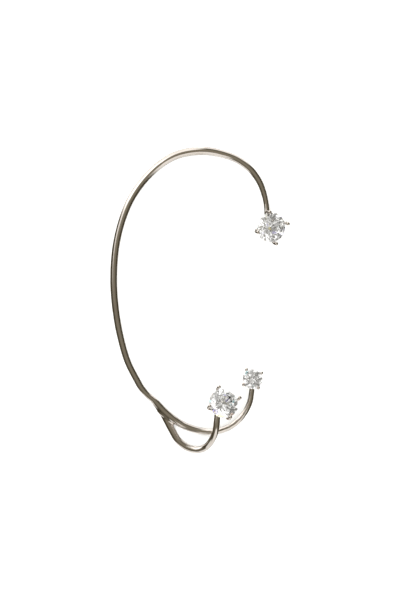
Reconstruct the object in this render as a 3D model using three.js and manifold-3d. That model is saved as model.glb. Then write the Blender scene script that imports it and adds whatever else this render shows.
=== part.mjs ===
// Ear cuff: a tapered wire hoop that hooks round the ear, forked at its lower end,
// with three round stones in four-claw settings on the free ends of the wires.
// Millimetres, +Z up. The cuff lies on its back: the hoop's underside is at z = 0,
// +Y points to the top of the hoop and the hoop is open towards +X.
import * as THREE from 'three';
import { ConvexGeometry } from 'three/addons/geometries/ConvexGeometry.js';
import { mergeVertices } from 'three/addons/utils/BufferGeometryUtils.js';
import Module from 'manifold-3d';

const wasm = await Module();
wasm.setup();

// Wires. A row is one station along a wire: its place in plan, the wire's diameter
// there, and how far the wire's underside is lifted off the surface.
// The ear wire runs from the upper setting over the hoop to the small setting. The hoop
// lies flat. Its lower end rides over the lobe wire at the fork, and both ends climb to
// their settings.
const earWireStations = [
  { x: 13.0, y: 15.2, diameter: 1.0, lift: 0.9 },
  { x: 13.3, y: 17.0, diameter: 1.0, lift: 0.3 },
  { x: 13.2, y: 19.2, diameter: 1.0, lift: 0 },
  { x: 12.6, y: 21.8, diameter: 1.1, lift: 0 },
  { x: 11.5, y: 24.3, diameter: 1.2, lift: 0 },
  { x: 9.4, y: 26.8, diameter: 1.3, lift: 0 },
  { x: 6.0, y: 28.8, diameter: 1.4, lift: 0 },
  { x: 0.5, y: 29.9, diameter: 1.6, lift: 0 },
  { x: -5.3, y: 28.8, diameter: 1.55, lift: 0 },
  { x: -10.2, y: 25.2, diameter: 1.45, lift: 0 },
  { x: -14.2, y: 19.6, diameter: 1.4, lift: 0 },
  { x: -16.6, y: 12.2, diameter: 1.35, lift: 0 },
  { x: -17.3, y: 4.2, diameter: 1.35, lift: 0 },
  { x: -16.6, y: -3.9, diameter: 1.3, lift: 0 },
  { x: -14.8, y: -11.4, diameter: 1.25, lift: 0 },
  { x: -12.5, y: -16.2, diameter: 1.25, lift: 0.05 },
  { x: -11.55, y: -17.75, diameter: 1.2, lift: 0.15 },
  { x: -10.4, y: -19.0, diameter: 1.15, lift: 0.25 },
  { x: -9.0, y: -20.15, diameter: 1.2, lift: 0.34 },
  { x: -7.25, y: -22.05, diameter: 1.35, lift: 0.46 },
  { x: -5.15, y: -23.8, diameter: 1.4, lift: 0.42 },
  { x: -2.85, y: -25.15, diameter: 1.4, lift: 0.15 },
  { x: 0.2, y: -26.05, diameter: 1.3, lift: 0.4 },
  { x: 3.2, y: -26.1, diameter: 1.25, lift: 0.75 },
  { x: 6.25, y: -25.0, diameter: 1.2, lift: 1.0 },
  { x: 8.4, y: -23.0, diameter: 1.15, lift: 1.25 },
  { x: 9.8, y: -20.55, diameter: 1.1, lift: 1.55 },
  { x: 10.25, y: -18.2, diameter: 1.05, lift: 1.7 },
  { x: 10.4, y: -16.1, diameter: 1.0, lift: 1.75 },
];

// The lobe wire leaves the ear wire at the fork and ends in the lobe setting.
// It lies on the surface at the fork, climbs round its bend and passes over the ear wire.
const lobeWireStations = [
  { x: -9.35, y: -19.95, diameter: 1.1, lift: 0 },
  { x: -8.3, y: -21.4, diameter: 1.2, lift: 0 },
  { x: -7.3, y: -22.8, diameter: 1.35, lift: 0 },
  { x: -6.5, y: -24.3, diameter: 1.35, lift: 0 },
  { x: -5.55, y: -26.1, diameter: 1.35, lift: 0 },
  { x: -4.35, y: -28.0, diameter: 1.35, lift: 0.15 },
  { x: -2.5, y: -29.35, diameter: 1.35, lift: 0.5 },
  { x: -0.4, y: -29.75, diameter: 1.35, lift: 1.0 },
  { x: 1.35, y: -29.0, diameter: 1.35, lift: 1.95 },
  { x: 2.45, y: -27.45, diameter: 1.3, lift: 3.85 },
  { x: 3.1, y: -25.6, diameter: 1.3, lift: 5.0 },
  { x: 3.35, y: -23.4, diameter: 1.3, lift: 5.15 },
  { x: 3.65, y: -21.4, diameter: 1.25, lift: 5.1 },
];

// Solder fills the crotch of the fork and the groove between the two wires.
const solderWeb = { from: [-8.7, -21.6], to: [-5.1, -24.8], width: 1.1, height: 1.5, middleZ: 0.8 };

// Settings. A row gives the middle of the stone's girdle, the stone's lean towards a
// direction, the direction of one claw, and how thick the claws are.
const settings = [
  {
    name: 'upper_stone', diameter: 6, x: 14.1, y: 14.55, z: 4.7,
    lean: 22, towards: -22, clawAngle: 14, clawRadius: 0.32,
  },
  {
    name: 'lobe_stone', diameter: 6, x: 4.6, y: -20.4, z: 8.8,
    lean: 25, towards: 55, clawAngle: 18, clawRadius: 0.32,
  },
  {
    name: 'small_stone', diameter: 4, x: 10.4, y: -15.65, z: 4.4,
    lean: 10, towards: 90, clawAngle: 33, clawRadius: 0.27,
  },
];

// Claw setting, as shares of the stone's radius.
const hubDrop = 1.12;            // depth of the hub's centre below the girdle
const hubRadius = 0.23;
const clawsPerStone = 4;
const clawRoute = [              // radius from the axis and height from the girdle
  [0.05, -hubDrop],
  [0.62, -0.62],
  [0.98, -0.24],
  [1.09, 0.02],
  [1.09, 0.35],
];
const clawBeadSwell = 1.25;      // a claw's rounded tip against its shaft
const seatGap = 0.08;            // mm between a stone's girdle and the claws cut to seat it
const fullTurn = 360;

// Round brilliant cut.
const crownAngle = 34.5;
const pavilionAngle = 41.8;
const tableShare = 0.57;         // table's corners against the girdle
const starShare = 0.5;           // how far a star facet reaches to the girdle
const lowerFacetShare = 0.24;    // where the lower girdle facets end, from the axis
const girdleShare = 0.035;       // half of the girdle's height against its radius
const mainFacets = 8;

// Facets of the round pieces.
const wireSides = 12;
const wireStep = 1.3;
const clawSides = 8;
const clawSteps = 7;
const beadSegments = [10, 7];
const unitBall = 0.5;            // radius of a ball 1 across, which is then scaled

const silverFinish = { color: 0xb8b2a6, roughness: 0.18, metalness: 1 };
const zirconiaFinish = { color: 0xf1f4f6, roughness: 0.02, metalness: 0 };

const up = new THREE.Vector3(0, 0, 1);

function toSolid(geometry) {
  const bare = geometry.clone();
  bare.deleteAttribute('normal');
  bare.deleteAttribute('uv');
  const welded = mergeVertices(bare);
  return new wasm.Manifold(new wasm.Mesh({
    numProp: 3,
    vertProperties: Float32Array.from(welded.attributes.position.array),
    triVerts: Uint32Array.from(welded.index.array),
  }));
}

function toGeometry(solid) {
  const { vertProperties, triVerts } = solid.getMesh();
  const geometry = new THREE.BufferGeometry();
  geometry.setAttribute('position', new THREE.BufferAttribute(vertProperties, 3));
  geometry.setIndex(new THREE.BufferAttribute(triVerts, 1));
  geometry.computeVertexNormals();
  return geometry;
}

// Bends a closed cylinder along a route. place(u) gives the section's centre, its two
// axes and its radius at u, from 0 at the route's start to 1 at its end.
function sweep(place, sides, steps) {
  const geometry = new THREE.CylinderGeometry(1, 1, 1, sides, steps, false, Math.PI / sides);
  const cornerRadius = 1 / Math.cos(Math.PI / sides);   // the flats lie at the wire's radius
  const position = geometry.attributes.position;
  for (let i = 0; i < position.count; i += 1) {
    const { centre, side, top, radius } = place(0.5 - position.getY(i));
    const point = centre.clone();
    point.addScaledVector(side, position.getX(i) * radius * cornerRadius);
    point.addScaledVector(top, position.getZ(i) * radius * cornerRadius);
    position.setXYZ(i, point.x, point.y, point.z);
  }
  return geometry;
}

// A tapered round wire through its stations, with a flat along its underside.
function taperedWire(stations) {
  const route = new THREE.CatmullRomCurve3(
    stations.map(({ x, y, lift }) => new THREE.Vector3(x, y, lift)), false, 'centripetal');
  const lastSpan = stations.length - 2;
  const place = (u) => {
    const t = route.getUtoTmapping(u);
    const span = Math.min(Math.floor(t * (lastSpan + 1)), lastSpan);
    const share = t * (lastSpan + 1) - span;
    const diameter = THREE.MathUtils.lerp(stations[span].diameter, stations[span + 1].diameter, share);
    const tangent = route.getTangent(t);
    const side = new THREE.Vector3(-tangent.y, tangent.x, 0).normalize();
    const top = tangent.clone().cross(side);
    const centre = route.getPoint(t);
    centre.z = Math.max(centre.z, 0) + diameter / 2;
    return { centre, side, top, radius: diameter / 2 };
  };
  return toSolid(sweep(place, wireSides, Math.round(route.getLength() / wireStep)));
}

// The solder between the wires: one long round drop, sunk into both.
function solder() {
  const from = new THREE.Vector2(...solderWeb.from);
  const to = new THREE.Vector2(...solderWeb.to);
  const along = to.clone().sub(from);
  const blob = new THREE.SphereGeometry(unitBall, ...beadSegments);
  blob.rotateX(Math.PI / 2);
  blob.scale(along.length(), solderWeb.width, solderWeb.height);
  blob.rotateZ(along.angle());
  blob.translate((from.x + to.x) / 2, (from.y + to.y) / 2, solderWeb.middleZ);
  return toSolid(blob);
}

// One claw in the XZ plane of a setting, with its rounded tip.
function claw(stoneRadius, radius) {
  const route = new THREE.CatmullRomCurve3(
    clawRoute.map(([out, height]) => new THREE.Vector3(out * stoneRadius, 0, height * stoneRadius)));
  const side = new THREE.Vector3(0, 1, 0);
  const place = (u) => {
    const tangent = route.getTangentAt(u);
    return { centre: route.getPointAt(u), side, top: tangent.clone().cross(side), radius };
  };
  const tip = new THREE.SphereGeometry(radius * clawBeadSwell, ...beadSegments);
  tip.rotateX(Math.PI / 2);
  tip.translate(...route.getPoint(1).toArray());
  return toSolid(sweep(place, clawSides, clawSteps)).add(toSolid(tip));
}

// A round brilliant about the middle of its girdle, table up.
function brilliant(radius) {
  const halfGirdle = radius * girdleShare;
  const crown = Math.tan(THREE.MathUtils.degToRad(crownAngle));
  const pavilion = Math.tan(THREE.MathUtils.degToRad(pavilionAngle));
  const halfFacet = Math.PI / mainFacets;
  const table = radius * tableShare;
  const tableEdge = table * Math.cos(halfFacet);
  const star = tableEdge + (radius - tableEdge) * starShare;
  const lower = radius * lowerFacetShare;
  const points = [new THREE.Vector3(0, 0, -halfGirdle - radius * pavilion)];
  const ring = (distance, angle, height) => points.push(
    new THREE.Vector3(distance * Math.cos(angle), distance * Math.sin(angle), height));
  for (let i = 0; i < mainFacets; i += 1) {
    const angle = i * 2 * halfFacet;
    const between = angle + halfFacet;
    ring(table, angle, halfGirdle + (radius - table) * crown);
    ring(star, between, halfGirdle + (radius - star * Math.cos(halfFacet)) * crown);
    ring(lower, between, -halfGirdle - (radius - lower * Math.cos(halfFacet)) * pavilion);
    for (const height of [-halfGirdle, halfGirdle]) {
      ring(radius, angle, height);
      ring(radius, between, height);
    }
  }
  return new ConvexGeometry(points);
}

function leanOf({ lean, towards }) {
  const tilt = THREE.MathUtils.degToRad(lean);
  const heading = THREE.MathUtils.degToRad(towards);
  const axis = new THREE.Vector3(
    Math.sin(tilt) * Math.cos(heading), Math.sin(tilt) * Math.sin(heading), Math.cos(tilt));
  return new THREE.Quaternion().setFromUnitVectors(up, axis);
}

function clawSetting(setting) {
  const stoneRadius = setting.diameter / 2;
  const hub = new THREE.SphereGeometry(hubRadius * stoneRadius, ...beadSegments);
  hub.rotateX(Math.PI / 2);
  hub.translate(0, 0, -hubDrop * stoneRadius);
  let metal = toSolid(hub);
  const oneClaw = claw(stoneRadius, setting.clawRadius);
  for (let i = 0; i < clawsPerStone; i += 1) {
    metal = metal.add(oneClaw.rotate([0, 0, setting.clawAngle + i * fullTurn / clawsPerStone]));
  }
  const place = new THREE.Matrix4().compose(
    new THREE.Vector3(setting.x, setting.y, setting.z), leanOf(setting), new THREE.Vector3(1, 1, 1));
  return metal.transform(place.toArray());
}

function seatCutter(setting) {
  const stoneRadius = setting.diameter / 2;
  const room = (stoneRadius + seatGap) / stoneRadius;
  const place = new THREE.Matrix4().compose(
    new THREE.Vector3(setting.x, setting.y, setting.z), leanOf(setting), new THREE.Vector3(room, room, room));
  return toSolid(brilliant(stoneRadius).applyMatrix4(place));
}

function cuffFrame() {
  let metal = taperedWire(earWireStations).add(taperedWire(lobeWireStations)).add(solder());
  for (const setting of settings) {
    metal = metal.add(clawSetting(setting));
  }
  for (const setting of settings) {
    metal = metal.subtract(seatCutter(setting));
  }
  const mesh = new THREE.Mesh(toGeometry(metal), new THREE.MeshStandardMaterial(silverFinish));
  mesh.name = 'cuff_frame';
  return mesh;
}

function stone(setting) {
  const shape = brilliant(setting.diameter / 2);
  const mesh = new THREE.Mesh(shape, new THREE.MeshStandardMaterial(zirconiaFinish));
  mesh.name = setting.name;
  mesh.position.set(setting.x, setting.y, setting.z);
  mesh.quaternion.copy(leanOf(setting));
  return mesh;
}

const earCuff = new THREE.Group();
earCuff.add(cuffFrame(), ...settings.map(stone));

export default earCuff;
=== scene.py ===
import bmesh
import bpy
import math
from mathutils import Matrix, Vector


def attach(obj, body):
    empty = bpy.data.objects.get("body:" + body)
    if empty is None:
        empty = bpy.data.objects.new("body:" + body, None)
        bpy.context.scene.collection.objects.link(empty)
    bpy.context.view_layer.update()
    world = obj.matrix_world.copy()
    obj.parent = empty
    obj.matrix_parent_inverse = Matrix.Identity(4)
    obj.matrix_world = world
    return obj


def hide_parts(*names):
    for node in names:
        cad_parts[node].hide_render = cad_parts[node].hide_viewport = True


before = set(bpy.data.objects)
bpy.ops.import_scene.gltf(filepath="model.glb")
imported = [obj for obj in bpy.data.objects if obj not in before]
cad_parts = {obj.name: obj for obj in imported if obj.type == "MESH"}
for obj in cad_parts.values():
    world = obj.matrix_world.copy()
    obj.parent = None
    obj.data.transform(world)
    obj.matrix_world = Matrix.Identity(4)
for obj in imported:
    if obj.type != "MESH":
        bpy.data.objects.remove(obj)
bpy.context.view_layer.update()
scene = bpy.context.scene
millimetre = 0.001      # shapes are drawn in millimetres and turned to metres at the end


def linearColour(hexCode, alpha=1.0):
    channels = [int(hexCode[i:i + 2], 16) / 255 for i in (0, 2, 4)]
    curve = [c / 12.92 if c <= 0.04045 else ((c + 0.055) / 1.055) ** 2.4 for c in channels]
    return (*curve, alpha)


def addNode(tree, kind, values=None, links=None, **traits):
    node = tree.nodes.new(kind)
    for name, value in traits.items():
        setattr(node, name, value)
    for socket, value in (values or {}).items():
        node.inputs[socket].default_value = value
    for socket, source in (links or {}).items():
        tree.links.new(source, node.inputs[socket])
    return node


# the colour sockets of a Mix node, which shares its names between kinds of value
mixFirst, mixSecond, mixResult = 6, 7, 2


def mixColours(tree, factor, first, second):
    # Each of the two is a socket, or a colour as a hex code
    mix = addNode(tree, "ShaderNodeMix", data_type="RGBA", links={"Factor": factor})
    for socket, colour in ((mixFirst, first), (mixSecond, second)):
        if isinstance(colour, str):
            mix.inputs[socket].default_value = linearColour(colour)
        else:
            tree.links.new(colour, mix.inputs[socket])
    return mix.outputs[mixResult]


def newMaterial(name):
    material = bpy.data.materials.new(name)
    material.use_nodes = True
    tree = material.node_tree
    return material, tree, tree.nodes["Principled BSDF"]


camera = {
    "height": 0.8,              # straight above the cuff, in metres
    "viewHeight": 0.12,         # what the frame's long side takes in
    "aim": (-0.00004, 0.0001),
    "film": 36,                 # the sensor's width, in millimetres
}


def makeCamera():
    data = bpy.data.cameras.new("camera")
    data.sensor_width = camera["film"]
    data.lens = data.sensor_width * camera["height"] / camera["viewHeight"]
    data.dof.use_dof = False
    eye = bpy.data.objects.new("camera", data)
    scene.collection.objects.link(eye)
    eye.location = (*camera["aim"], camera["height"])
    scene.camera = eye


silverLook = {
    "colour": "E6E0DB",
    "shade": "D2C9BE",
    "roughness": (0.07, 0.16),
    "cloudMillimetres": 3.0,     # how far apart the buff's lighter and heavier passes are
    "cloudDetail": 3.0,
    "cloudRoughness": 0.5,
    "swirlMillimetres": 0.25,    # the buff's fine swirls
    "swirlDetail": 2.0,
    "swirlRoughness": 0.6,
    "swirlDistortion": 1.5,
    "wear": (0.1, 0.45),         # the two noises' product, from glossiest to softest
    "bumpStrength": 0.05,
    "bumpMillimetres": 0.02,
}


def polishedSilver():
    # Sterling silver wire, soldered, buffed and rhodium plated: a mirror with soft, faint swirls
    material, tree, shader = newMaterial("polishedSilver")
    place = addNode(tree, "ShaderNodeTexCoord").outputs["Object"]
    clouds = addNode(tree, "ShaderNodeTexNoise", {
        "Scale": 1 / (silverLook["cloudMillimetres"] * millimetre),
        "Detail": silverLook["cloudDetail"], "Roughness": silverLook["cloudRoughness"]}, {"Vector": place})
    swirls = addNode(tree, "ShaderNodeTexNoise", {
        "Scale": 1 / (silverLook["swirlMillimetres"] * millimetre), "Detail": silverLook["swirlDetail"],
        "Roughness": silverLook["swirlRoughness"], "Distortion": silverLook["swirlDistortion"]},
        {"Vector": place})
    colour = mixColours(tree, clouds.outputs["Fac"], silverLook["colour"], silverLook["shade"])
    blend = addNode(tree, "ShaderNodeMath", operation="MULTIPLY",
                    links={0: clouds.outputs["Fac"], 1: swirls.outputs["Fac"]})
    glossiest, softest = silverLook["wear"]
    smooth, rough = silverLook["roughness"]
    sheen = addNode(tree, "ShaderNodeMapRange", {
        "From Min": glossiest, "From Max": softest, "To Min": smooth, "To Max": rough},
        {"Value": blend.outputs[0]})
    bump = addNode(tree, "ShaderNodeBump", {
        "Strength": silverLook["bumpStrength"], "Distance": silverLook["bumpMillimetres"] * millimetre},
        {"Height": swirls.outputs["Fac"]})
    tree.links.new(colour, shader.inputs["Base Color"])
    tree.links.new(sheen.outputs[0], shader.inputs["Roughness"])
    tree.links.new(bump.outputs[0], shader.inputs["Normal"])
    shader.inputs["Metallic"].default_value = 1.0
    return material


zirconiaLook = {
    "ior": 2.17,
    "paintedSparkMillimetres": 0.7,     # size of a painted spark of fire, a coloured glint in the stone's colour
    # where each painted fire tint starts, as a share of the cells: nearly all of them are clear
    "paintedFireTints": [(0.0, "FFFFFF"), (0.94, "90D8E4"), (0.955, "FFF0A4"), (0.97, "BEB8F0"), (0.985, "F8D6C4")],
}


def cubicZirconia():
    # Cubic zirconia, cut and polished: water clear and a hard sparkle, with sparks of fire painted into its
    # colour as a few tinted cells
    material, tree, shader = newMaterial("cubicZirconia")
    place = addNode(tree, "ShaderNodeTexCoord").outputs["Object"]
    cells = addNode(tree, "ShaderNodeTexVoronoi",
                    {"Scale": 1 / (zirconiaLook["paintedSparkMillimetres"] * millimetre)}, {"Vector": place})
    draw = addNode(tree, "ShaderNodeSeparateColor", links={"Color": cells.outputs["Color"]})
    # painted fire: a few cells tint the stone's colour, standing in for the coloured glints its dispersion
    # throws
    paintedFire = addNode(tree, "ShaderNodeValToRGB", links={"Fac": draw.outputs["Red"]})
    paintedFire.color_ramp.interpolation = "CONSTANT"
    for start, code in zirconiaLook["paintedFireTints"][2:]:     # a new ramp has two colours already
        paintedFire.color_ramp.elements.new(start)
    for element, (start, code) in zip(paintedFire.color_ramp.elements, zirconiaLook["paintedFireTints"]):
        element.position = start
        element.color = linearColour(code)
    tree.links.new(paintedFire.outputs["Color"], shader.inputs["Base Color"])
    shader.inputs["Roughness"].default_value = 0.0
    shader.inputs["IOR"].default_value = zirconiaLook["ior"]
    shader.inputs["Transmission Weight"].default_value = 1.0
    return material


girdleLook = {
    "colour": "F2F4F6",
    "roughness": (0.25, 0.5),
    "gritMillimetres": 0.08,
    "gritDetail": 2.0,
}


def groundGirdle():
    # The stone's edge, ground and not polished: a thin frosted line
    material, tree, shader = newMaterial("groundGirdle")
    place = addNode(tree, "ShaderNodeTexCoord").outputs["Object"]
    grit = addNode(tree, "ShaderNodeTexNoise", {
        "Scale": 1 / (girdleLook["gritMillimetres"] * millimetre), "Detail": girdleLook["gritDetail"]},
        {"Vector": place})
    smooth, rough = girdleLook["roughness"]
    frost = addNode(tree, "ShaderNodeMapRange", {"To Min": smooth, "To Max": rough},
                    {"Value": grit.outputs["Fac"]})
    tree.links.new(frost.outputs[0], shader.inputs["Roughness"])
    shader.inputs["Base Color"].default_value = linearColour(girdleLook["colour"])
    shader.inputs["IOR"].default_value = zirconiaLook["ior"]
    shader.inputs["Transmission Weight"].default_value = 1.0
    return material


cardLook = {"colour": "F4F4F3", "roughness": 0.9, "shine": 0.1}


def whiteCard():
    # Uncoated card, pressed flat and left matt: an even white with hardly any shine
    material, tree, shader = newMaterial("whiteCard")
    shader.inputs["Base Color"].default_value = linearColour(cardLook["colour"])
    shader.inputs["Roughness"].default_value = cardLook["roughness"]
    shader.inputs["Specular IOR Level"].default_value = cardLook["shine"]
    return material


silver = polishedSilver()
zirconia = cubicZirconia()
girdleFrost = groundGirdle()
print("materials made")


# how finely the round shapes are drawn
fineness = {
    "step": 0.12,               # millimetres along a wire or a claw
    "splineResolution": 24,
    "wireSides": 32,
    "clawSides": 20,
    "ballSegments": 24,
    "ballRings": 16,
}


def newTree(name, inputs):
    tree = bpy.data.node_groups.new(name, "GeometryNodeTree")
    tree.interface.new_socket(name="Geometry", in_out="INPUT", socket_type="NodeSocketGeometry")
    for label, kind in inputs.items():
        tree.interface.new_socket(name=label, in_out="INPUT", socket_type="NodeSocket" + kind)
    tree.interface.new_socket(name="Geometry", in_out="OUTPUT", socket_type="NodeSocketGeometry")
    return tree, tree.nodes.new("NodeGroupInput")


def endTree(tree, given, geometry):
    real = addNode(tree, "GeometryNodeRealizeInstances", links={"Geometry": geometry})
    painted = addNode(tree, "GeometryNodeSetMaterial",
                      links={"Geometry": real.outputs[0], "Material": given.outputs["Material"]})
    addNode(tree, "NodeGroupOutput", links={"Geometry": painted.outputs[0]})
    return tree


def sweptRound(tree, curve, sides, step):
    # A round section along a curve, as thick as the curve's own radius
    smooth = addNode(tree, "GeometryNodeCurveSplineType", spline_type="CATMULL_ROM", links={"Curve": curve})
    fine = addNode(tree, "GeometryNodeSetSplineResolution", {"Resolution": fineness["splineResolution"]},
                   {"Geometry": smooth.outputs[0]})
    even = addNode(tree, "GeometryNodeResampleCurve", mode="LENGTH",
                   links={"Curve": fine.outputs[0], "Length": step})
    section = addNode(tree, "GeometryNodeCurvePrimitiveCircle", {"Radius": 1.0}, {"Resolution": sides})
    thickness = addNode(tree, "GeometryNodeInputRadius")
    swept = addNode(tree, "GeometryNodeCurveToMesh", {"Fill Caps": True}, {
        "Curve": even.outputs[0], "Profile Curve": section.outputs[0], "Scale": thickness.outputs[0]})
    return swept.outputs[0]


def wireTree():
    tree, given = newTree("drawnWire", {"Sides": "Int", "Step": "Float", "Material": "Material"})
    swept = sweptRound(tree, given.outputs["Geometry"], given.outputs["Sides"], given.outputs["Step"])
    return endTree(tree, given, swept)


def ballNode(tree, radius):
    return addNode(tree, "GeometryNodeMeshUVSphere", {
        "Segments": fineness["ballSegments"], "Rings": fineness["ballRings"]}, {"Radius": radius})


def settingTree():
    # One claw, copied round the setting's axis, on a round hub
    tree, given = newTree("clawSetting", {
        "Claws": "Int", "Spin": "Float", "Sides": "Int", "Step": "Float", "Tip": "Vector",
        "Tip Radius": "Float", "Hub Radius": "Float", "Hub Place": "Vector",
        "Place": "Vector", "Turn": "Rotation", "Material": "Material"})
    shaft = sweptRound(tree, given.outputs["Geometry"], given.outputs["Sides"], given.outputs["Step"])
    bead = ballNode(tree, given.outputs["Tip Radius"])
    tip = addNode(tree, "GeometryNodeTransform",
                  links={"Geometry": bead.outputs[0], "Translation": given.outputs["Tip"]})
    claw = addNode(tree, "GeometryNodeJoinGeometry", links={"Geometry": shaft})
    tree.links.new(tip.outputs[0], claw.inputs[0])
    points = addNode(tree, "GeometryNodePoints", links={"Count": given.outputs["Claws"]})
    share = addNode(tree, "ShaderNodeMath", {0: math.tau}, {1: given.outputs["Claws"]}, operation="DIVIDE")
    number = addNode(tree, "GeometryNodeInputIndex")
    turn = addNode(tree, "ShaderNodeMath", operation="MULTIPLY_ADD",
                   links={0: number.outputs[0], 1: share.outputs[0], 2: given.outputs["Spin"]})
    about = addNode(tree, "ShaderNodeCombineXYZ", links={"Z": turn.outputs[0]})
    ring = addNode(tree, "GeometryNodeInstanceOnPoints", links={
        "Points": points.outputs[0], "Instance": claw.outputs[0], "Rotation": about.outputs[0]})
    ball = ballNode(tree, given.outputs["Hub Radius"])
    hub = addNode(tree, "GeometryNodeTransform",
                  links={"Geometry": ball.outputs[0], "Translation": given.outputs["Hub Place"]})
    both = addNode(tree, "GeometryNodeJoinGeometry", links={"Geometry": ring.outputs[0]})
    tree.links.new(hub.outputs[0], both.inputs[0])
    placed = addNode(tree, "GeometryNodeTransform", links={
        "Geometry": both.outputs[0],
        "Translation": given.outputs["Place"], "Rotation": given.outputs["Turn"]})
    return endTree(tree, given, placed.outputs[0])


def brilliantTree():
    # A round brilliant as the convex hull of its rings of corners, table up
    tree, given = newTree("roundBrilliant", {
        "Facets": "Int", "Girdle Radius": "Float", "Half Girdle": "Float", "Table Radius": "Float",
        "Table Height": "Float", "Star Radius": "Float", "Star Height": "Float", "Lower Radius": "Float",
        "Lower Height": "Float", "Culet Radius": "Float", "Culet Height": "Float",
        "Place": "Vector", "Turn": "Rotation", "Material": "Material"})
    joined = addNode(tree, "GeometryNodeJoinGeometry")
    doubled = addNode(tree, "ShaderNodeMath", {1: 2.0}, {0: given.outputs["Facets"]}, operation="MULTIPLY")
    half = addNode(tree, "ShaderNodeMath", {0: math.pi}, {1: given.outputs["Facets"]}, operation="DIVIDE")
    below = addNode(tree, "ShaderNodeMath", {1: -1.0}, {0: given.outputs["Half Girdle"]},
                    operation="MULTIPLY")
    rings = [
        ("Facets", "Table Radius", given.outputs["Table Height"], False),
        ("Facets", "Star Radius", given.outputs["Star Height"], True),
        (None, "Girdle Radius", given.outputs["Half Girdle"], False),
        (None, "Girdle Radius", below.outputs[0], False),
        ("Facets", "Lower Radius", given.outputs["Lower Height"], True),
        ("Facets", "Culet Radius", given.outputs["Culet Height"], False),
    ]
    for count, radius, height, between in rings:
        corners = given.outputs[count] if count else doubled.outputs[0]
        circle = addNode(tree, "GeometryNodeMeshCircle",
                         links={"Vertices": corners, "Radius": given.outputs[radius]})
        lift = addNode(tree, "ShaderNodeCombineXYZ", links={"Z": height})
        spin = addNode(tree, "ShaderNodeCombineXYZ", links={"Z": half.outputs[0]} if between else {})
        ring = addNode(tree, "GeometryNodeTransform", links={
            "Geometry": circle.outputs[0], "Translation": lift.outputs[0], "Rotation": spin.outputs[0]})
        tree.links.new(ring.outputs[0], joined.inputs[0])
    hull = addNode(tree, "GeometryNodeConvexHull", links={"Geometry": joined.outputs[0]})
    placed = addNode(tree, "GeometryNodeTransform", links={
        "Geometry": hull.outputs[0],
        "Translation": given.outputs["Place"], "Rotation": given.outputs["Turn"]})
    return endTree(tree, given, placed.outputs[0])


def socketOf(tree, label):
    return next(item.identifier for item in tree.interface.items_tree
                if item.name == label and item.in_out == "INPUT")


def grown(host, tree, values):
    # The plain mesh that a tree grows on a host object
    modifier = host.modifiers.new("shape", "NODES")
    modifier.node_group = tree
    for label, value in values.items():
        modifier[socketOf(tree, label)] = value
    shape = bpy.data.meshes.new_from_object(host.evaluated_get(bpy.context.evaluated_depsgraph_get()))
    bpy.data.objects.remove(host)
    return shape


def curveThrough(name, points, radii):
    data = bpy.data.curves.new(name, "CURVE")
    data.dimensions = "3D"
    spline = data.splines.new("POLY")
    spline.points.add(len(points) - 1)
    for corner, place, radius in zip(spline.points, points, radii):
        corner.co = (*place, 1.0)
        corner.radius = radius
    host = bpy.data.objects.new(name, data)
    scene.collection.objects.link(host)
    return host


settings = {
    # place of the girdle's middle and lean, in millimetres and degrees
    "upper": {"diameter": 6, "place": (14.1, 14.55, 4.7), "lean": 22, "towards": -22, "clawAngle": 14},
    "lobe": {"diameter": 6, "place": (4.6, -20.4, 8.8), "lean": 25, "towards": 55, "clawAngle": 18},
    "small": {"diameter": 4, "place": (10.4, -15.65, 4.4), "lean": 10, "towards": 90, "clawAngle": 33},
}


def leanOf(setting):
    tilt = math.radians(setting["lean"])
    heading = math.radians(setting["towards"])
    axis = Vector((math.sin(tilt) * math.cos(heading), math.sin(tilt) * math.sin(heading), math.cos(tilt)))
    return Vector((0, 0, 1)).rotation_difference(axis)


wires = {
    # a station is x, y, the wire's diameter and the lift of its underside, in millimetres
    "ear": [
        (13.0, 15.2, 1.0, 0.9), (13.3, 17.0, 1.0, 0.3), (13.2, 19.2, 1.0, 0), (12.6, 21.8, 1.1, 0),
        (11.5, 24.3, 1.2, 0), (9.4, 26.8, 1.3, 0), (6.0, 28.8, 1.4, 0), (0.5, 29.9, 1.6, 0),
        (-5.3, 28.8, 1.55, 0), (-10.2, 25.2, 1.45, 0), (-14.2, 19.6, 1.4, 0), (-16.6, 12.2, 1.35, 0),
        (-17.3, 4.2, 1.35, 0), (-16.6, -3.9, 1.3, 0), (-14.8, -11.4, 1.25, 0), (-12.5, -16.2, 1.25, 0.05),
        (-11.55, -17.75, 1.2, 0.15), (-10.4, -19.0, 1.15, 0.25), (-9.0, -20.15, 1.2, 0.34),
        (-7.25, -22.05, 1.35, 0.46), (-5.15, -23.8, 1.4, 0.42), (-2.85, -25.15, 1.4, 0.15),
        (0.2, -26.05, 1.3, 0.4), (3.2, -26.1, 1.25, 0.75), (6.25, -25.0, 1.2, 1.0), (8.4, -23.0, 1.15, 1.25),
        (9.8, -20.55, 1.1, 1.55), (10.25, -18.2, 1.05, 1.7), (10.4, -16.1, 1.0, 1.75),
    ],
    "lobe": [
        (-9.35, -19.95, 1.1, 0), (-8.3, -21.4, 1.2, 0), (-7.3, -22.8, 1.35, 0), (-6.5, -24.3, 1.35, 0),
        (-5.55, -26.1, 1.35, 0), (-4.35, -28.0, 1.35, 0.15), (-2.5, -29.35, 1.35, 0.5),
        (-0.4, -29.75, 1.35, 1.0), (1.35, -29.0, 1.35, 1.95), (2.45, -27.45, 1.3, 3.85),
        (3.1, -25.6, 1.3, 5.0), (3.35, -23.4, 1.3, 5.15), (3.65, -21.4, 1.25, 5.1),
    ],
}

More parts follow.
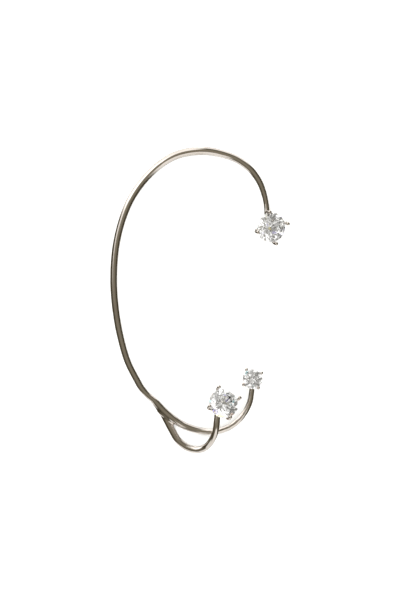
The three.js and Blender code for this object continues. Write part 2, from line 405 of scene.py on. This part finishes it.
claws = {
    "count": 4,
    # radius from the axis and height from the girdle, as shares of the stone's radius
    "route": [(0.05, -1.12), (0.62, -0.62), (0.98, -0.24), (1.09, 0.02), (1.09, 0.35)],
    "thickness": {"upper": 0.32, "lobe": 0.32, "small": 0.27},
    "tipSwell": 1.25,            # a claw's rounded tip against its shaft
    "hubDrop": 1.12,             # this and the next are shares of the stone's radius too
    "hubRadius": 0.23,
    "seatGap": 0.06,             # how much wider in radius than its stone a seat is, in millimetres
}

solder = {"from": (-8.7, -21.6), "to": (-5.1, -24.8), "width": 1.1, "height": 1.5, "middle": 0.8}

# the soldered wires are skinned as one piece: voxels in millimetres, then rounds of smoothing
surface = {"voxel": 0.1, "smoothing": 12}


def wireMesh(name, tree):
    stations = wires[name]
    points = [(x, y, lift + diameter / 2) for x, y, diameter, lift in stations]
    host = curveThrough(name + "Wire", points, [diameter / 2 for x, y, diameter, lift in stations])
    return grown(host, tree, {"Sides": fineness["wireSides"], "Step": fineness["step"], "Material": silver})


def settingMesh(name, tree):
    setting = settings[name]
    radius = setting["diameter"] / 2
    thickness = claws["thickness"][name]
    points = [(out * radius, 0, height * radius) for out, height in claws["route"]]
    host = curveThrough(name + "Claw", points, [thickness] * len(points))
    return grown(host, tree, {
        "Claws": claws["count"], "Spin": math.radians(setting["clawAngle"]),
        "Sides": fineness["clawSides"], "Step": fineness["step"],
        "Tip": points[-1], "Tip Radius": thickness * claws["tipSwell"],
        "Hub Radius": claws["hubRadius"] * radius, "Hub Place": (0, 0, -claws["hubDrop"] * radius),
        "Place": setting["place"], "Turn": leanOf(setting).to_euler(), "Material": silver})


def solderMesh():
    # The drop of solder that fills the crotch of the fork
    start, end = Vector(solder["from"]), Vector(solder["to"])
    along = end - start
    middle = (start + end) / 2
    shape = bpy.data.meshes.new("solder")
    work = bmesh.new()
    bmesh.ops.create_uvsphere(work, u_segments=fineness["ballSegments"], v_segments=fineness["ballRings"],
                              radius=0.5)     # one across, then stretched to the drop's size
    work.to_mesh(shape)
    work.free()
    size = Matrix.Diagonal((along.length, solder["width"], solder["height"], 1))
    heading = Matrix.Rotation(math.atan2(along.y, along.x), 4, "Z")
    shape.transform(Matrix.Translation((*middle, solder["middle"])) @ heading @ size)
    return shape


def joined(name, shapes):
    work = bmesh.new()
    for shape in shapes:
        work.from_mesh(shape)
    mesh = bpy.data.meshes.new(name)
    work.to_mesh(mesh)
    work.free()
    piece = bpy.data.objects.new(name, mesh)
    scene.collection.objects.link(piece)
    return piece


def applied(piece):
    # The piece with its modifiers' result as its own mesh
    mesh = bpy.data.meshes.new_from_object(piece.evaluated_get(bpy.context.evaluated_depsgraph_get()))
    piece.modifiers.clear()
    piece.data = mesh
    return piece


def inMetres(piece):
    piece.data.transform(Matrix.Scale(millimetre, 4))
    return piece


cut = {
    "facets": 8,
    "crownAngle": 34.5,
    "pavilionAngle": 41.8,
    "star": 0.5,                 # how far a star facet reaches from the table to the girdle
    # shares of the stone's radius; the girdle's is half its height
    "table": 0.57,
    "lower": 0.24,
    "girdle": 0.035,
    "culet": 0.004,
    # degrees within which two faces are one facet, and how little of the axis is in the
    # normal of a face of the girdle
    "flatAngle": 0.5,
    "girdleLean": 0.05,
}


def brilliantValues(setting, grow=0.0):
    radius = setting["diameter"] / 2 + grow
    crown = math.tan(math.radians(cut["crownAngle"]))
    pavilion = math.tan(math.radians(cut["pavilionAngle"]))
    halfFacet = math.pi / cut["facets"]
    table = radius * cut["table"]
    tableEdge = table * math.cos(halfFacet)
    star = tableEdge + (radius - tableEdge) * cut["star"]
    lower = radius * cut["lower"]
    girdle = radius * cut["girdle"]
    culet = radius * cut["culet"]
    return {
        "Facets": cut["facets"], "Girdle Radius": radius, "Half Girdle": girdle,
        "Table Radius": table, "Table Height": girdle + (radius - table) * crown,
        "Star Radius": star, "Star Height": girdle + (radius - star * math.cos(halfFacet)) * crown,
        "Lower Radius": lower, "Lower Height": -girdle - (radius - lower * math.cos(halfFacet)) * pavilion,
        "Culet Radius": culet, "Culet Height": -girdle - (radius - culet) * pavilion,
        "Place": setting["place"], "Turn": leanOf(setting).to_euler(), "Material": zirconia}


def emptyHost(name):
    host = bpy.data.objects.new(name, bpy.data.meshes.new(name))
    scene.collection.objects.link(host)
    return host


def makeStone(name, tree):
    setting = settings[name]
    mesh = grown(emptyHost(name + "Cut"), tree, brilliantValues(setting))
    work = bmesh.new()
    work.from_mesh(mesh)
    bmesh.ops.dissolve_limit(work, angle_limit=math.radians(cut["flatAngle"]), verts=work.verts,
                             edges=work.edges)
    bmesh.ops.recalc_face_normals(work, faces=work.faces)
    axis = leanOf(setting) @ Vector((0, 0, 1))
    for face in work.faces:
        face.material_index = int(abs(face.normal.dot(axis)) < cut["girdleLean"])
    work.to_mesh(mesh)
    work.free()
    mesh.materials.clear()
    mesh.materials.append(zirconia)
    mesh.materials.append(girdleFrost)
    piece = bpy.data.objects.new(name + "Brilliant", mesh)
    scene.collection.objects.link(piece)
    return inMetres(piece)


def makeFrame(brilliant):
    drawn = wireTree()
    clawed = settingTree()
    shapes = [wireMesh(name, drawn) for name in ("ear", "lobe")]
    shapes += [settingMesh(name, clawed) for name in settings]
    piece = joined("cuffFrame", [*shapes, solderMesh()])
    skin = piece.modifiers.new("skin", "REMESH")
    skin.mode = "VOXEL"
    skin.voxel_size = surface["voxel"]
    buff = piece.modifiers.new("buff", "SMOOTH")
    buff.iterations = surface["smoothing"]
    for name, setting in settings.items():
        seat = emptyHost(name + "Seat")
        seat.data = grown(emptyHost(name + "Cutter"), brilliant, brilliantValues(setting, claws["seatGap"]))
        notch = piece.modifiers.new(name + "Notch", "BOOLEAN")
        notch.operation = "DIFFERENCE"
        notch.solver = "MANIFOLD"
        notch.object = seat
    applied(piece)
    for name in settings:
        bpy.data.objects.remove(bpy.data.objects[name + "Seat"])
    piece.data.materials.clear()
    piece.data.materials.append(silver)
    piece.data.shade_smooth()
    return inMetres(piece)


brilliant = brilliantTree()
cuff = makeFrame(brilliant)
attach(cuff, "root")
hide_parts("cuff_frame")
print("frame made:", len(cuff.data.polygons), "faces")

for name in settings:
    stone = makeStone(name, brilliant)
    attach(stone, "root")
    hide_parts(name + "_stone")
print("stones made")


studio = {
    "floorSide": 3.0,
    "panelDistance": 0.6,
    "softEdge": 0.35,          # share of a soft box's half over which it fades out
    "backdrop": "FAFAFA",
    "roomHigh": "8E887A",
    "roomLow": "4A4436",
    # spans are heights of a direction, with 1 straight up
    "roomSpan": (0.2, 1.0),       # where the room turns from its low colour to its high one
    "roomThroughStones": ("9C9B97", "F2F1EE"),
    "flagScale": 3.5,             # higher for more and smaller grey flags round the stones
    "darkAbove": "807F7C",        # a dim patch straight overhead, seen only through the stones
    "darkSpan": (0.86, 0.97),     # where it fades in
    "overheadSide": 3.0,
    "overheadHeight": 1.3,
    "overheadLight": 2.6,
}

# every panel faces the cuff; its middle and its size are angles in degrees, and how bright it
# looks is told with paper white at 1
panels = {
    "keyPanel": {"azimuth": 123, "elevation": 0, "across": 78, "upright": 120, "light": 1.3},
    "keySkirt": {"azimuth": 71, "elevation": -24, "across": 48, "upright": 80, "light": 1.2},
    "keyWing": {"azimuth": 148, "elevation": 40, "across": 44, "upright": 62, "light": 0.85},
    "frontPanel": {"azimuth": -76, "elevation": 2, "across": 70, "upright": 128, "light": 0.95},
    "frontWing": {"azimuth": -122, "elevation": -25, "across": 40, "upright": 80, "light": 0.95},
}


def makeFloor():
    mesh = bpy.data.meshes.new("floor")
    half = studio["floorSide"] / 2
    corners = [(-half, -half, 0), (half, -half, 0), (half, half, 0), (-half, half, 0)]
    mesh.from_pydata(corners, [], [(0, 1, 2, 3)])
    mesh.materials.append(whiteCard())
    floor = bpy.data.objects.new("floor", mesh)
    scene.collection.objects.link(floor)
    floor.visible_glossy = False


def makeLight(name, place, width, height, brightness):
    # A soft box turned to the cuff
    data = bpy.data.lights.new(name, "AREA")
    data.shape = "RECTANGLE"
    data.size = width
    data.size_y = height
    data.energy = brightness * math.pi * width * height
    data.use_nodes = True
    tree = data.node_tree
    across = addNode(tree, "ShaderNodeSeparateXYZ",
                     links={0: addNode(tree, "ShaderNodeNewGeometry").outputs["Parametric"]})
    fades = []
    for side in ("X", "Y"):
        swing = addNode(tree, "ShaderNodeMath", {1: 2.0, 2: -1.0}, {0: across.outputs[side]},
                        operation="MULTIPLY_ADD")     # from -1 at one edge to 1 at the other
        offMiddle = addNode(tree, "ShaderNodeMath", links={0: swing.outputs[0]}, operation="ABSOLUTE")
        fade = addNode(tree, "ShaderNodeMapRange", {"From Min": 1.0, "From Max": 1.0 - studio["softEdge"]},
                       {"Value": offMiddle.outputs[0]}, interpolation_type="SMOOTHSTEP")
        fades.append(fade.outputs[0])
    glow = addNode(tree, "ShaderNodeMath", links=dict(enumerate(fades)), operation="MULTIPLY")
    tree.links.new(glow.outputs[0], tree.nodes["Emission"].inputs["Strength"])
    light = bpy.data.objects.new(name, data)
    scene.collection.objects.link(light)
    light.location = place
    light.rotation_euler = (-place).to_track_quat("-Z", "Y").to_euler()
    light.visible_camera = False
    return light


def makePanel(name, panel):
    azimuth, elevation = math.radians(panel["azimuth"]), math.radians(panel["elevation"])
    level = math.cos(elevation)
    direction = Vector((level * math.cos(azimuth), level * math.sin(azimuth), math.sin(elevation)))
    away = studio["panelDistance"]
    width, height = (2 * away * math.tan(math.radians(panel[side] / 2)) for side in ("across", "upright"))
    makeLight(name, direction * away, width, height, panel["light"])


def makeRoom():
    # A dim warm room for the silver and the stones to mirror, behind a pale backdrop
    world = bpy.data.worlds.new("room")
    world.use_nodes = True
    scene.world = world
    tree = world.node_tree
    sky = tree.nodes["Background"]
    place = addNode(tree, "ShaderNodeTexCoord").outputs["Generated"]
    split = addNode(tree, "ShaderNodeSeparateXYZ", links={0: place})
    low, high = studio["roomSpan"]
    height = addNode(tree, "ShaderNodeMapRange", {"From Min": low, "From Max": high},
                     {"Value": split.outputs["Z"]})
    room = mixColours(tree, height.outputs[0], studio["roomLow"], studio["roomHigh"])
    flags = addNode(tree, "ShaderNodeTexVoronoi", {"Scale": studio["flagScale"]}, {"Vector": place})
    grey = addNode(tree, "ShaderNodeSeparateColor", links={"Color": flags.outputs["Color"]})
    stoneRoom = mixColours(tree, grey.outputs["Red"], *studio["roomThroughStones"])
    low, high = studio["darkSpan"]
    above = addNode(tree, "ShaderNodeMapRange", {"From Min": low, "From Max": high},
                    {"Value": split.outputs["Z"]})
    shaded = mixColours(tree, above.outputs[0], stoneRoom, studio["darkAbove"])
    rays = addNode(tree, "ShaderNodeLightPath")
    inside = mixColours(tree, rays.outputs["Is Transmission Ray"], room, shaded)
    both = mixColours(tree, rays.outputs["Is Camera Ray"], inside, studio["backdrop"])
    tree.links.new(both, sky.inputs["Color"])


makeFloor()
makeRoom()
for name, panel in panels.items():
    makePanel(name, panel)
overhead = makeLight("overheadLight", Vector((0, 0, studio["overheadHeight"])), studio["overheadSide"],
                     studio["overheadSide"], studio["overheadLight"])
overhead.visible_glossy = False
overhead.visible_transmission = False
makeCamera()
scene.view_settings.view_transform = "Standard"
print("studio made")
